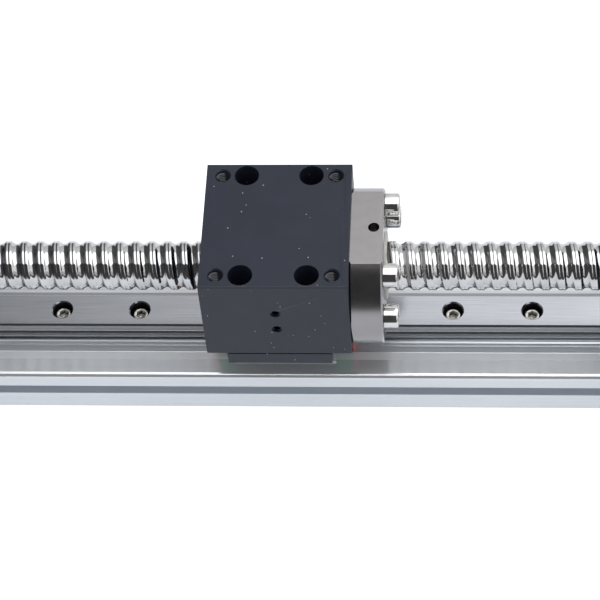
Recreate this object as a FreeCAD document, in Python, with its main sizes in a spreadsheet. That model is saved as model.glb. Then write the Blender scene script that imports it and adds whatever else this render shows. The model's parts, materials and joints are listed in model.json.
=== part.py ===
import FreeCAD, Part
import math
import os
import re
import Sketcher
from FreeCAD import Vector

# Ball screw linear module.
# Millimetres, +Z up. X runs along the screw. The origin is at the bottom centre of the whole module.
# The carriage stands where the photograph shows it. The screw is right-handed.

doc = FreeCAD.newDocument("LinearModule")

# Driving dimensions
SIZES = {
    # Base extrusion
    "base_long": 222, "base_wide": 40, "base_high": 18,
    "lip_inner": 6.5, "lip_crest": 7.0, "lip_outer": 7.5, "lip_high": 0.8, "lip_slope": 0.25,
    "relief_outer": 8.4, "relief_deep": 0.5, "seat_edge": 10.6, "seat_slope": 0.35, "seat_step": 0.12,
    "corner_round": 1.6,
    "groove_down": 6.0, "groove_high": 4.2, "groove_deep": 3.0, "groove_slant": 0.3,
    "skirt_down": 12.5, "skirt_step": 0.15, "foot_cut": 0.2,
    "channel_wide": 12, "channel_deep": 1.5,
    "port_apart": 16, "port_down": 9,
    "mount_long": 150, "mount_wide": 30, "mount_radius": 2.1, "mount_deep": 7,
    # Guide rail and its screws
    "rail_short": 1, "rail_wide": 12, "rail_high": 8, "rail_edge": 0.5,
    "race_radius": 1.6, "race_bite": 0.75, "race_down": 3.2,
    "rail_pitch": 25, "rail_end_least": 8, "rail_bore": 1.75, "rail_sink": 3.1, "rail_sink_deep": 5.2,
    "rail_sink_edge": 0.4, "rail_screw_long": 8,
    "small_head": 2.75, "small_head_high": 3.0, "small_shank": 1.5, "small_key": 1.25,
    # Carriage on the rail
    "carriage_off": 3.3, "carriage_wide": 27, "carriage_long": 32.4, "carriage_high": 10,
    "carriage_lift": 3, "carriage_gap": 0.3, "roof_gap": 0.5, "carriage_edge": 0.6,
    "cap_long": 5.5, "cap_lower": 1.05, "cap_narrow": 0.6, "seal_long": 2.2, "seal_lower": 1.05,
    "seal_narrow": 1.0,
    # Spacer plate
    "spacer_long": 32.4, "spacer_high": 5, "spacer_bolts": 20, "spacer_sink": 3.2, "spacer_screw_long": 5,
    # Nut housing
    "block_long": 45, "block_wide": 47.4, "block_high": 35, "block_edge": 0.5, "screw_up": 24,
    "deep_apart_long": 20, "deep_apart_wide": 38, "deep_sink_deep": 19, "deep_screw_long": 20,
    "deep_sink_radius": 3.75, "deep_bore": 2.25,
    "medium_head": 3.5, "medium_head_high": 4.0, "medium_shank": 2.0, "medium_key": 1.5,
    "top_apart_long": 35, "top_apart_wide": 38, "top_tap": 2.1, "top_tap_deep": 11, "top_tap_edge": 0.45,
    "front_tap": 1.55, "front_tap_deep": 6, "front_low": 13.4, "front_apart": 8,
    # Ball nut
    "flange_radius": 24, "flange_thick": 10, "flange_flat": 19.75, "flange_edge": 0.5,
    "nut_radius": 13, "nut_long": 50, "nut_play": 0.35,
    "circle_radius": 19, "flange_hole": 2.25, "oil_radius": 1.7, "oil_deep": 8, "oil_from_block": 7.1,
    "wiper_radius": 10.5, "wiper_thick": 2.5, "wiper_out": 0.8, "wiper_play": 0.3,
    "flange_head": 3.65, "flange_head_high": 4.7, "flange_screw_long": 16,
    # Ball screw
    "screw_radius": 7.65, "lead": 5, "track_wide": 3.1, "track_deep": 1.15, "track_phase": 3.0,
    "thread_gap": 1, "journal_radius": 5, "lock_radius": 9, "lock_thick": 6,
    "drive_radius": 4, "drive_long": 20, "drive_edge": 0.5, "clip_wide": 1.6, "clip_thick": 1.0,
    "journal_spare": 1.8,
    # End plates, bearings and covers
    "fixed_thick": 24, "float_thick": 16, "end_over_screw": 20, "end_edge": 1.0,
    "bearing_radius": 13, "bearing_thick": 8, "ring_thick": 2.4, "shoulder_radius": 10.4,
    "cover_radius": 19, "cover_thick": 3.5, "cover_circle": 16, "cover_screw_long": 10,
    "cover_head_high": 1.9, "cover_pocket": 2.5, "cover_play": 0.4,
    "motor_square": 31, "motor_tap": 1.25, "motor_tap_deep": 6,
    "large_head": 4.25, "large_head_high": 5, "large_shank": 2.5, "large_key": 2.0,
    "end_sink": 5.4, "end_screw_long": 28,
    "bumper_radius": 4, "bumper_thick": 6.5, "bumper_out": 17, "bumper_up": 10,
    # Clearances
    "seat_fit": 0.02, "thread_room": 0.05, "head_room": 0.25, "tap_spare": 1,
}

sheet = doc.addObject("Spreadsheet::Sheet", "Sizes")
for line, (alias, number) in enumerate(SIZES.items(), start=1):
    sheet.set("A%d" % line, alias)
    sheet.set("B%d" % line, str(number))
    sheet.setAlias("B%d" % line, alias)
doc.recompute()

# Places along X and up Z, worked out from the sheet
FIXED_REACH = "(fixed_thick + cover_thick + drive_long)"
FLOAT_REACH = "(float_thick + cover_thick + cover_head_high)"
BASE_MID = "((%s - %s) / 2)" % (FIXED_REACH, FLOAT_REACH)
FIXED_FACE = "(%s - base_long / 2)" % BASE_MID
FLOAT_FACE = "(%s + base_long / 2)" % BASE_MID
FIXED_OUTSIDE = "(%s - fixed_thick)" % FIXED_FACE
FLOAT_OUTSIDE = "(%s + float_thick)" % FLOAT_FACE
CARRIAGE_MID = "(%s - carriage_off)" % BASE_MID
BLOCK_LEFT = "(%s - block_long / 2)" % CARRIAGE_MID
BLOCK_RIGHT = "(%s + block_long / 2)" % CARRIAGE_MID
RAIL_TOP = "(base_high + rail_high)"
CARRIAGE_LOW = "(base_high + carriage_lift)"
CARRIAGE_TOP = "(%s + carriage_high)" % CARRIAGE_LOW
BLOCK_LOW = "(%s + spacer_high)" % CARRIAGE_TOP
BLOCK_TOP = "(%s + block_high)" % BLOCK_LOW
AXIS_UP = "(%s + screw_up)" % RAIL_TOP

# The rail is a little shorter than the base, and holds as many screws at its pitch as fit
RAIL_LONG = "(base_long - 2 * rail_short)"
RAIL_HOLES = "(floor((%s - 2 * rail_end_least) / rail_pitch) + 1)" % RAIL_LONG
RAIL_ROW = "(rail_pitch * (%s - 1))" % RAIL_HOLES

TURNED = {
    "+X": FreeCAD.Rotation(Vector(0, 1, 0), 90),
    "-X": FreeCAD.Rotation(Vector(0, 1, 0), -90),
    "+Z": FreeCAD.Rotation(),
}
MATHS = {"cos", "sin", "deg", "floor"}


def on_sheet(expression):
    """Point each plain word of an expression at the cell of that name."""
    def cell(match):
        word = match.group(0)
        return word if word in MATHS else "Sizes." + word
    return re.sub(r"[a-z][a-z_]*", cell, str(expression))


def bind(thing, **expressions):
    """Tie properties of a document object to the sheet."""
    for name, expression in expressions.items():
        thing.setExpression(name, on_sheet(expression))
    return thing


def place(thing, x=0, y=0, z=0, axis="+Z"):
    """Stand an object at a bound point, with its own Z along the named axis."""
    thing.Placement = FreeCAD.Placement(Vector(), TURNED[axis])
    for letter, expression in zip("xyz", (x, y, z)):
        thing.setExpression(".Placement.Base." + letter, on_sheet(expression))
    return thing


def new(kind, label):
    thing = doc.addObject(kind, "piece")
    thing.Label = label
    return thing


def box(label, x, y, z, long, wide, high):
    """A box that starts at x, is centred on y and stands on z."""
    block = bind(new("Part::Box", label), Length=long, Width=wide, Height=high)
    return place(block, x, "%s - (%s) / 2" % (y, wide), z)


def rod(label, radius, long, x=0, y=0, z=0, axis="+X"):
    return place(bind(new("Part::Cylinder", label), Radius=radius, Height=long), x, y, z, axis)


def cut(label, base, tools):
    """Take the tools away from the base."""
    gathered = new("Part::Compound", label + " tools")
    gathered.Links = tools
    result = new("Part::Cut", label)
    result.Base = base
    result.Tool = gathered
    return result


def fuse(label, pieces):
    result = new("Part::MultiFuse", label)
    result.Shapes = pieces
    return result


def group(label, pieces):
    """Like pieces that share one node, each a solid of its own."""
    result = new("Part::Compound", label)
    result.Links = pieces
    return result


def copies(master, label, places, axis):
    """The same piece at each place of a list."""
    links = []
    for x, y, z in places:
        link = new("App::Link", label + " copy")
        link.LinkedObject = master
        links.append(place(link, x, y, z, axis))
    return group(label, links)


def corners(x, y, long, wide):
    """The four corners of a rectangle of holes, as pairs of expressions."""
    return [("%s %s (%s) / 2" % (x, a, long), "%s %s (%s) / 2" % (y, b, wide)) for a in "+-" for b in "+-"]


def body(label):
    thing = doc.addObject("PartDesign::Body", "body")
    thing.Label = label
    return thing


def sketch(owner, plane, offset="0"):
    """An empty sketch on one of the body's own planes, moved along the plane's normal."""
    planes = {feature.Role: feature for feature in owner.Origin.OriginFeatures}
    drawing = owner.newObject("Sketcher::SketchObject", "sketch")
    drawing.AttachmentSupport = (planes[plane + "_Plane"], [""])
    drawing.MapMode = "FlatFace"
    drawing.setExpression(".AttachmentOffset.Base.z", on_sheet(offset))
    return drawing


def fix_point(drawing, geometry, end, point):
    for kind, expression in zip(("DistanceX", "DistanceY"), point):
        number = drawing.addConstraint(Sketcher.Constraint(kind, -1, 1, geometry, end, 1.0))
        drawing.setExpression("Constraints[%d]" % number, on_sheet(expression))


def outline(drawing, points):
    """A closed outline of straight sides through bound points."""
    first = drawing.GeometryCount
    count = len(points)
    angles = [2 * math.pi * i / count for i in range(count)]
    loose = [Vector(math.cos(angle), math.sin(angle)) for angle in angles]
    for i in range(count):
        drawing.addGeometry(Part.LineSegment(loose[i], loose[(i + 1) % count]))
    for i in range(count):
        drawing.addConstraint(Sketcher.Constraint("Coincident", first + i, 2, first + (i + 1) % count, 1))
    for i, point in enumerate(points):
        fix_point(drawing, first + i, 1, point)


def circle(drawing, x, y, radius):
    number = drawing.addGeometry(Part.Circle(Vector(), Vector(0, 0, 1), 1.0))
    fix_point(drawing, number, 3, (x, y))
    size = drawing.addConstraint(Sketcher.Constraint("Radius", number, 1.0))
    drawing.setExpression("Constraints[%d]" % size, on_sheet(radius))


def both_sides(half):
    """A right-hand half outline, from the middle outwards, with its mirror image."""
    return half + [("-(%s)" % x, y) for x, y in reversed(half)]


def pad(owner, drawing, long):
    feature = owner.newObject("PartDesign::Pad", "pad")
    feature.Profile = drawing
    return bind(feature, Length=long)


def pocket(owner, drawing, deep=None, backwards=False):
    """Cut a sketch into the body, right through unless a depth is given."""
    doc.recompute()
    before = owner.Shape.Volume
    feature = owner.newObject("PartDesign::Pocket", "pocket")
    feature.Profile = drawing
    feature.Reversed = backwards
    if deep is None:
        feature.Type = "ThroughAll"
        feature.Midplane = True
    else:
        bind(feature, Length=deep)
    doc.recompute()
    if not 0 < owner.Shape.Volume < before - 1e-3:
        raise RuntimeError(owner.Label + ": a pocket cuts nothing")
    return feature


def groove(owner, drawing):
    """Turn a half section about the sketch's upright axis and take it away."""
    doc.recompute()
    before = owner.Shape.Volume
    feature = owner.newObject("PartDesign::Groove", "groove")
    feature.Profile = drawing
    feature.ReferenceAxis = (drawing, ["V_Axis"])
    feature.Angle = 360
    doc.recompute()
    if not 0 < owner.Shape.Volume < before - 1e-3:
        raise RuntimeError(owner.Label + ": a groove cuts nothing")
    return feature


def revolve(label, half_section):
    """A turned piece about its own Z axis, from a half section of (radius, height) points."""
    owner = body(label)
    drawing = sketch(owner, "XZ")
    outline(drawing, half_section)
    feature = owner.newObject("PartDesign::Revolution", "revolution")
    feature.Profile = drawing
    feature.ReferenceAxis = (drawing, ["V_Axis"])
    feature.Angle = 360
    return owner


def value(alias):
    return float(sheet.get(alias))


# Socket head screws. Each stands on its head's bearing face, with the shank down its own -Z.
def socket_screw(name, head, high, shank, long, key):
    blank = fuse(name + " blank", [
        rod(name + " head", head, high, axis="+Z"),
        rod(name + " shank", shank, long, z="-(%s)" % long, axis="+Z")])
    hexagon = bind(new("Part::Prism", name + " key"), Circumradius="%s / cos(30 deg)" % key, Height=high)
    hexagon.Polygon = 6
    place(hexagon, z="(%s) / 2" % high)
    return cut(name, blank, [hexagon])


# Base extrusion
def base_extrusion():
    half = [
        ("channel_wide / 2", "channel_deep"),
        ("channel_wide / 2", "0"),
        ("base_wide / 2 - skirt_step - foot_cut", "0"),
        ("base_wide / 2 - skirt_step", "foot_cut"),
        ("base_wide / 2 - skirt_step", "base_high - skirt_down - skirt_step"),
        ("base_wide / 2", "base_high - skirt_down"),
        ("base_wide / 2", "base_high - groove_down - groove_high"),
        ("base_wide / 2 - groove_deep", "base_high - groove_down - groove_high + groove_slant"),
        ("base_wide / 2 - groove_deep", "base_high - groove_down"),
        ("base_wide / 2", "base_high - groove_down"),
        *[("base_wide / 2 - corner_round * (1 - cos(%d deg))" % turn,
           "base_high - seat_step - corner_round * (1 - sin(%d deg))" % turn) for turn in range(0, 91, 18)],
        ("seat_edge + seat_slope", "base_high - seat_step"),
        ("seat_edge", "base_high"),
        ("relief_outer", "base_high"),
        ("relief_outer", "base_high - relief_deep"),
        ("lip_outer", "base_high - relief_deep"),
        ("lip_outer", "base_high + lip_high - lip_slope"),
        ("lip_crest", "base_high + lip_high"),
        ("lip_inner", "base_high + lip_high"),
        ("lip_inner", "base_high"),
    ]
    extrusion = body("base_extrusion")
    section = sketch(extrusion, "YZ", FIXED_FACE)
    outline(section, both_sides(half))
    for side in "+-":
        circle(section, "%s port_apart / 2" % side, "base_high - port_down", "large_shank + thread_room")
    pad(extrusion, section, "base_long")
    taps = sketch(extrusion, "XY", "base_high")
    circle(taps, "%s - %s / 2" % (BASE_MID, RAIL_ROW), "0", "small_shank + thread_room")
    hole = pocket(extrusion, taps, "rail_screw_long + rail_sink_deep - rail_high + tap_spare")
    row(extrusion, hole)
    feet = sketch(extrusion, "XY")
    for x, y in corners(BASE_MID, "0", "mount_long", "mount_wide"):
        circle(feet, x, y, "mount_radius")
    pocket(extrusion, feet, "mount_deep", backwards=True)
    return extrusion


def row(owner, feature):
    """Repeat a hole along the rail."""
    planes = {item.Role: item for item in owner.Origin.OriginFeatures}
    pattern = owner.newObject("PartDesign::LinearPattern", "row")
    pattern.Originals = [feature]
    pattern.Direction = (planes["X_Axis"], [""])
    bind(pattern, Length=RAIL_ROW, Occurrences=RAIL_HOLES)
    owner.Tip = pattern
    return pattern


# Guide rail, with a raceway in each side and counterbored holes
def guide_rail():
    half = [
        ("rail_wide / 2", "base_high"),
        ("rail_wide / 2", RAIL_TOP + " - rail_edge"),
        ("rail_wide / 2 - rail_edge", RAIL_TOP),
    ]
    rail = body("guide_rail")
    section = sketch(rail, "YZ", FIXED_FACE + " + rail_short")
    outline(section, both_sides(half))
    pad(rail, section, RAIL_LONG)
    races = sketch(rail, "YZ", BASE_MID)
    for side in "+-":
        centre = "%s (rail_wide / 2 + race_radius - race_bite)" % side
        circle(races, centre, RAIL_TOP + " - race_down", "race_radius")
    pocket(rail, races)
    hole = sketch(rail, "XZ")
    hole.setExpression(".AttachmentOffset.Base.x", on_sheet("%s - %s / 2" % (BASE_MID, RAIL_ROW)))
    outline(hole, [
        ("0", "base_high"),
        ("rail_bore", "base_high"),
        ("rail_bore", RAIL_TOP + " - rail_sink_deep"),
        ("rail_sink", RAIL_TOP + " - rail_sink_deep"),
        ("rail_sink", RAIL_TOP + " - rail_sink_edge"),
        ("rail_sink + rail_sink_edge", RAIL_TOP),
        ("0", RAIL_TOP),
    ])
    row(rail, groove(rail, hole))
    return rail


def rail_screws():
    screw = socket_screw("rail screw", "small_head", "small_head_high", "small_shank", "rail_screw_long",
                         "small_key")
    rail_long = value("base_long") - 2 * value("rail_short")
    holes = math.floor((rail_long - 2 * value("rail_end_least")) / value("rail_pitch")) + 1
    places = [("%s - %s / 2 + rail_pitch * %d" % (BASE_MID, RAIL_ROW, number), "0",
               RAIL_TOP + " - rail_sink_deep") for number in range(holes)]
    return copies(screw, "rail_screws", places, "+Z")


# The carriage, its end caps and its end seals share one section that hugs the rail
def saddle(label, start, long, narrow, lower):
    """A bridge over the rail, set in by narrow on each side and by lower on top."""
    half = [
        ("rail_wide / 2 + carriage_gap", RAIL_TOP + " + roof_gap"),
        ("rail_wide / 2 + carriage_gap", CARRIAGE_LOW),
        ("carriage_wide / 2 - carriage_edge - %s" % narrow, CARRIAGE_LOW),
        ("carriage_wide / 2 - %s" % narrow, CARRIAGE_LOW + " + carriage_edge"),
        ("carriage_wide / 2 - %s" % narrow, "%s - carriage_edge - %s" % (CARRIAGE_TOP, lower)),
        ("carriage_wide / 2 - carriage_edge - %s" % narrow, "%s - %s" % (CARRIAGE_TOP, lower)),
    ]
    piece = body(label)
    section = sketch(piece, "YZ", start)
    outline(section, both_sides(half))
    pad(piece, section, long)
    return piece


def carriage_body():
    runner = saddle("carriage_body", CARRIAGE_MID + " - carriage_long / 2", "carriage_long", "0", "0")
    taps = sketch(runner, "XY", CARRIAGE_TOP)
    for x, y in corners(CARRIAGE_MID, "0", "spacer_bolts", "spacer_bolts"):
        circle(taps, x, y, "small_shank + thread_room")
    pocket(runner, taps, "spacer_screw_long + spacer_sink - spacer_high + tap_spare")
    return runner


def carriage_ends():
    """An end cap and an end seal at each end of the carriage."""
    left = CARRIAGE_MID + " - carriage_long / 2 - cap_long"
    right = CARRIAGE_MID + " + carriage_long / 2"
    caps = [saddle("end cap", start, "cap_long", "cap_narrow", "cap_lower") for start in (left, right)]
    lips = [saddle("end seal", start, "seal_long", "seal_narrow", "seal_lower")
            for start in (left + " - seal_long", right + " + cap_long")]
    return group("carriage_end_caps", caps), group("carriage_end_seals", lips)


# Spacer plate between the carriage and the nut housing
def spacer_plate():
    plate = box("spacer blank", CARRIAGE_MID + " - spacer_long / 2", "0", CARRIAGE_TOP,
                "spacer_long", "block_wide", "spacer_high")
    holes = []
    for x, y in corners(CARRIAGE_MID, "0", "deep_apart_long", "deep_apart_wide"):
        holes.append(rod("block tap", "medium_shank + thread_room", "spacer_high", x, y, CARRIAGE_TOP, "+Z"))
    for x, y in corners(CARRIAGE_MID, "0", "spacer_bolts", "spacer_bolts"):
        holes.append(rod("carriage hole", "rail_bore", "spacer_high", x, y, CARRIAGE_TOP, "+Z"))
        holes.append(rod("carriage sink", "small_head + head_room", "spacer_sink", x, y,
                         BLOCK_LOW + " - spacer_sink", "+Z"))
    return cut("spacer_plate", plate, holes)


def spacer_screws():
    screw = socket_screw("spacer screw", "small_head", "small_head_high", "small_shank", "spacer_screw_long",
                         "small_key")
    places = [(x, y, BLOCK_LOW + " - spacer_sink")
              for x, y in corners(CARRIAGE_MID, "0", "spacer_bolts", "spacer_bolts")]
    return copies(screw, "spacer_screws", places, "+Z")


# Nut housing
def flange_places(x):
    """The four flange screws, beside and above the screw's axis."""
    slant = "circle_radius * cos(45 deg)"
    return [(x, "circle_radius", AXIS_UP), (x, "-circle_radius", AXIS_UP),
            (x, slant, "%s + %s" % (AXIS_UP, slant)), (x, "-" + slant, "%s + %s" % (AXIS_UP, slant))]


def nut_housing():
    block = body("nut_housing")
    section = sketch(block, "YZ", BLOCK_LEFT)
    edge = "block_edge"
    outline(section, both_sides([
        ("block_wide / 2 - " + edge, BLOCK_LOW),
        ("block_wide / 2", BLOCK_LOW + " + " + edge),
        ("block_wide / 2", BLOCK_TOP + " - " + edge),
        ("block_wide / 2 - " + edge, BLOCK_TOP),
    ]))
    circle(section, "0", AXIS_UP, "nut_radius + seat_fit")
    pad(block, section, "block_long")
    flange = sketch(block, "YZ", BLOCK_RIGHT)
    for _, y, z in flange_places("0"):
        circle(flange, y, z, "medium_shank + thread_room")
    pocket(block, flange, "flange_screw_long - flange_thick + tap_spare")
    front = sketch(block, "XZ", "block_wide / 2")
    for extra in ("0", "front_apart"):
        circle(front, CARRIAGE_MID, "%s + front_low + %s" % (BLOCK_LOW, extra), "front_tap")
    pocket(block, front, "front_tap_deep")
    top = sketch(block, "XY", BLOCK_TOP)
    rims = sketch(block, "XY", BLOCK_TOP)
    for x, y in corners(CARRIAGE_MID, "0", "top_apart_long", "top_apart_wide"):
        circle(top, x, y, "top_tap")
        circle(rims, x, y, "top_tap + top_tap_edge")
    pocket(block, top, "top_tap_deep")
    bind(pocket(block, rims, "top_tap_edge"), TaperAngle="-45 deg")
    sinks = sketch(block, "XY", BLOCK_TOP)
    bores = sketch(block, "XY", BLOCK_TOP)
    for x, y in corners(CARRIAGE_MID, "0", "deep_apart_long", "deep_apart_wide"):
        circle(sinks, x, y, "deep_sink_radius")
        circle(bores, x, y, "deep_bore")
    pocket(block, sinks, "deep_sink_deep")
    pocket(block, bores)
    return block


def housing_screws():
    screw = socket_screw("housing screw", "medium_head", "medium_head_high", "medium_shank",
                         "deep_screw_long", "medium_key")
    places = [(x, y, BLOCK_TOP + " - deep_sink_deep")
              for x, y in corners(CARRIAGE_MID, "0", "deep_apart_long", "deep_apart_wide")]
    return copies(screw, "housing_screws", places, "+Z")


# Ball nut, with a flange that has a flat above and below
def ball_nut():
    turned = revolve("ball nut blank", [
        ("nut_radius", "0"),
        ("flange_radius - flange_edge", "0"),
        ("flange_radius", "flange_edge"),
        ("flange_radius", "flange_thick - flange_edge"),
        ("flange_radius - flange_edge", "flange_thick"),
        ("wiper_radius + seat_fit", "flange_thick"),
        ("wiper_radius + seat_fit", "flange_thick - wiper_thick"),
        ("screw_radius + nut_play", "flange_thick - wiper_thick"),
        ("screw_radius + nut_play", "flange_thick - nut_long + wiper_thick"),
        ("wiper_radius + seat_fit", "flange_thick - nut_long + wiper_thick"),
        ("wiper_radius + seat_fit", "flange_thick - nut_long"),
        ("nut_radius - flange_edge", "flange_thick - nut_long"),
        ("nut_radius", "flange_thick - nut_long + flange_edge"),
    ])
    place(turned, BLOCK_RIGHT, "0", AXIS_UP, "+X")
    beside = "(flange_radius - flange_flat)"
    tools = []
    for side, low in (("over", AXIS_UP + " + flange_flat"), ("under", "%s - flange_radius" % AXIS_UP)):
        tools.append(box("flat " + side, BLOCK_RIGHT, "0", low, "flange_thick", "2 * flange_radius", beside))
    slant = "circle_radius * cos(45 deg)"
    holes = flange_places(BLOCK_RIGHT)
    holes += [(BLOCK_RIGHT, side + slant, "%s - %s" % (AXIS_UP, slant)) for side in ("", "-")]
    tools += [rod("flange hole", "flange_hole", "flange_thick", x, y, z) for x, y, z in holes]
    tools.append(rod("oil hole", "oil_radius", "oil_deep", BLOCK_RIGHT + " + oil_from_block", "0",
                     AXIS_UP + " + flange_flat - oil_deep", "+Z"))
    return cut("ball_nut", turned, tools)


def ring(label, outer, inner, thick, x):
    """A ring about the screw's axis that starts at x."""
    outside = rod(label + " outside", outer, thick, x, "0", AXIS_UP)
    return cut(label, outside, [rod(label + " bore", inner, thick, x, "0", AXIS_UP)])


def nut_wipers():
    inner = "screw_radius + wiper_play"
    right = BLOCK_RIGHT + " + flange_thick - wiper_thick"
    left = BLOCK_RIGHT + " + flange_thick - nut_long"
    return group("nut_wipers", [ring("wiper right", "wiper_radius", inner, "wiper_thick + wiper_out", right),
                                ring("wiper left", "wiper_radius", inner, "wiper_thick", left)])


def flange_screws():
    screw = socket_screw("flange screw", "flange_head", "flange_head_high", "medium_shank",
                         "flange_screw_long", "medium_key")
    return copies(screw, "flange_screws", flange_places(BLOCK_RIGHT + " + flange_thick"), "+X")


# Ball screw: a helical ball track with lands between its turns, then plain journals
def track_thread(start, end):
    """The threaded length as one solid. The track starts and ends at flat faces."""
    radius, lead = value("screw_radius"), value("lead")
    wide, deep = value("track_wide"), value("track_deep")
    steps = 12
    land = lead - wide
    rows = [(radius, 0), (radius, land), (radius - deep, land + wide / 2), (radius, lead)]
    turns = math.ceil((end - start) / lead) + 2
    track_mid = carriage_middle() + value("track_phase")
    first = track_mid - (land + wide / 2)
    first -= lead * math.ceil((first - start) / lead + 1)

    def helix(r, offset):
        def at(i):
            angle = 2 * math.pi * i / steps
            return Vector(first + offset + lead * i / steps, -r * math.sin(angle), r * math.cos(angle))
        span = range(-3, steps + 4)
        curve = Part.BSplineCurve()
        curve.interpolate(Points=[at(i) for i in span], Parameters=[float(i) for i in span])
        curve.segment(0.0, float(steps))
        return curve.toShape()

    edges = [helix(r, offset) for r, offset in rows]
    strips = [Part.makeRuledSurface(edges[i], edges[i + 1]).Faces[0] for i in range(3)]
    faces = []
    for turn in range(turns + 1):
        for strip in strips:
            copy = strip.copy()
            copy.translate(Vector(turn * lead, 0, 0))
            faces.append(copy)
    for x in (first, first + (turns + 1) * lead):
        axis = Part.LineSegment(Vector(x, 0, 0), Vector(x + lead, 0, 0)).toShape()
        rim = edges[0].copy()
        rim.translate(Vector(x - first, 0, 0))
        faces.append(Part.makeRuledSurface(axis, rim).Faces[0])
        step = [Vector(x, 0, 0)] + [Vector(x + offset, 0, r) for r, offset in rows] + [Vector(x + lead, 0, 0)]
        faces.append(Part.Face(Part.makePolygon(step + step[:1])))
    skin = Part.Compound(faces)
    skin.sewShape()
    solid = Part.Solid(skin.Shells[0])
    if solid.Volume < 0:
        solid.reverse()
    return solid.common(Part.makeCylinder(radius + 1, end - start, Vector(start, 0, 0), Vector(1, 0, 0)))


def base_middle():
    fixed = value("fixed_thick") + value("cover_thick") + value("drive_long")
    floating = value("float_thick") + value("cover_thick") + value("cover_head_high")
    return (fixed - floating) / 2


def carriage_middle():
    return base_middle() - value("carriage_off")


def ball_screw():
    half = value("base_long") / 2
    left, right = base_middle() - half, base_middle() + half
    core = value("screw_radius") - value("track_deep")
    journal, thick = value("journal_radius"), value("bearing_thick")
    start, end = left + value("thread_gap"), right - value("thread_gap")
    outside = left - value("fixed_thick")
    fixed_seat = outside + 2 * thick
    float_seat = right + value("float_thick") - thick
    lock_end = outside - value("lock_thick")
    tip = outside - value("cover_thick") - value("drive_long")
    edge = value("drive_edge")

    along = Vector(1, 0, 0)

    def length(radius, low, high):
        return Part.makeCylinder(radius, high - low, Vector(low, 0, 0), along)

    pieces = [
        length(core, fixed_seat, start),
        length(journal, lock_end, fixed_seat),
        length(value("drive_radius"), tip + edge, lock_end),
        Part.makeCone(value("drive_radius") - edge, value("drive_radius"), edge, Vector(tip, 0, 0), along),
        length(core, end, float_seat),
        length(journal, float_seat, float_seat + thick + value("journal_spare")),
    ]
    screw = new("Part::Feature", "ball_screw")
    screw.Shape = track_thread(start, end).fuse(pieces).removeSplitter()
    axis_up = value("base_high") + value("rail_high") + value("screw_up")
    screw.Placement = FreeCAD.Placement(Vector(0, 0, axis_up), FreeCAD.Rotation())
    return screw


# End plates
def end_plate(label, start, thick):
    """A bearing housing with a shoulder behind the bearings. Its top edges are chamfered."""
    plate = body(label)
    top = AXIS_UP + " + end_over_screw"
    section = sketch(plate, "YZ", start)
    outline(section, both_sides([
        ("block_wide / 2", "0"),
        ("block_wide / 2", top + " - end_edge"),
        ("block_wide / 2 - end_edge", top),
    ]))
    circle(section, "0", AXIS_UP, "shoulder_radius")
    for side in "+-":
        circle(section, "%s port_apart / 2" % side, "base_high - port_down", "large_shank + head_room")
    pad(plate, section, thick)
    return plate


def cover_places(x):
    """Four screws round a bearing, one above, one below and one on each side."""
    return [(x, "cover_circle", AXIS_UP), (x, "-cover_circle", AXIS_UP),
            (x, "0", AXIS_UP + " + cover_circle"), (x, "0", AXIS_UP + " - cover_circle")]


def drill_end(plate, outside, backwards, bearing_long, motor):
    """The bearing seat, the screw sinks and the tapped holes, all from the plate's outer face."""
    seat = sketch(plate, "YZ", outside)
    circle(seat, "0", AXIS_UP, "bearing_radius")
    pocket(plate, seat, bearing_long, backwards)
    sinks = sketch(plate, "YZ", outside)
    for side in "+-":
        circle(sinks, "%s port_apart / 2" % side, "base_high - port_down", "large_head + head_room")
    pocket(plate, sinks, "end_sink", backwards)
    taps = sketch(plate, "YZ", outside)
    for _, y, z in cover_places("0"):
        circle(taps, y, z, "small_shank + thread_room")
    pocket(plate, taps, "cover_screw_long - cover_thick + tap_spare", backwards)
    if motor:
        pattern = sketch(plate, "YZ", outside)
        for y, z in corners("0", AXIS_UP, "motor_square", "motor_square"):
            circle(pattern, y, z, "motor_tap")
        pocket(plate, pattern, "motor_tap_deep", backwards)
    return plate


def fixed_end_plate():
    plate = end_plate("fixed_end_plate", FIXED_OUTSIDE, "fixed_thick")
    return drill_end(plate, FIXED_OUTSIDE, True, "2 * bearing_thick", True)


def floating_end_plate():
    plate = end_plate("floating_end_plate", FLOAT_FACE, "float_thick")
    return drill_end(plate, FLOAT_OUTSIDE, False, "bearing_thick", False)


def end_plate_screws():
    screw = socket_screw("end screw", "large_head", "large_head_high", "large_shank",
                         "end_screw_long", "large_key")
    sides = [(side + "port_apart / 2", "base_high - port_down") for side in ("", "-")]
    fixed = [(FIXED_OUTSIDE + " + end_sink", y, z) for y, z in sides]
    floating = [(FLOAT_OUTSIDE + " - end_sink", y, z) for y, z in sides]
    left = copies(screw, "end screws left", fixed, "-X")
    right = copies(screw, "end screws right", floating, "+X")
    return group("end_plate_screws", left.Links + right.Links)


# Bearings: two at the fixed end, one at the floating end
BEARINGS = {"outer": FIXED_OUTSIDE, "inner": FIXED_OUTSIDE + " + bearing_thick",
            "floating": FLOAT_OUTSIDE + " - bearing_thick"}


def bearing_rings():
    outer = [ring("outer ring " + name, "bearing_radius - seat_fit", "bearing_radius - ring_thick",
                  "bearing_thick", start) for name, start in BEARINGS.items()]
    inner = [ring("inner ring " + name, "journal_radius + ring_thick", "journal_radius + seat_fit",
                  "bearing_thick", start) for name, start in BEARINGS.items()]
    return group("bearing_outer_rings", outer), group("bearing_inner_rings", inner)


def lock_nut():
    return ring("lock_nut", "lock_radius", "journal_radius + seat_fit", "lock_thick",
                FIXED_OUTSIDE + " - lock_thick")


def retaining_ring():
    return ring("retaining_ring", "journal_radius + clip_wide", "journal_radius + seat_fit", "clip_thick",
                FLOAT_OUTSIDE)


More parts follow.
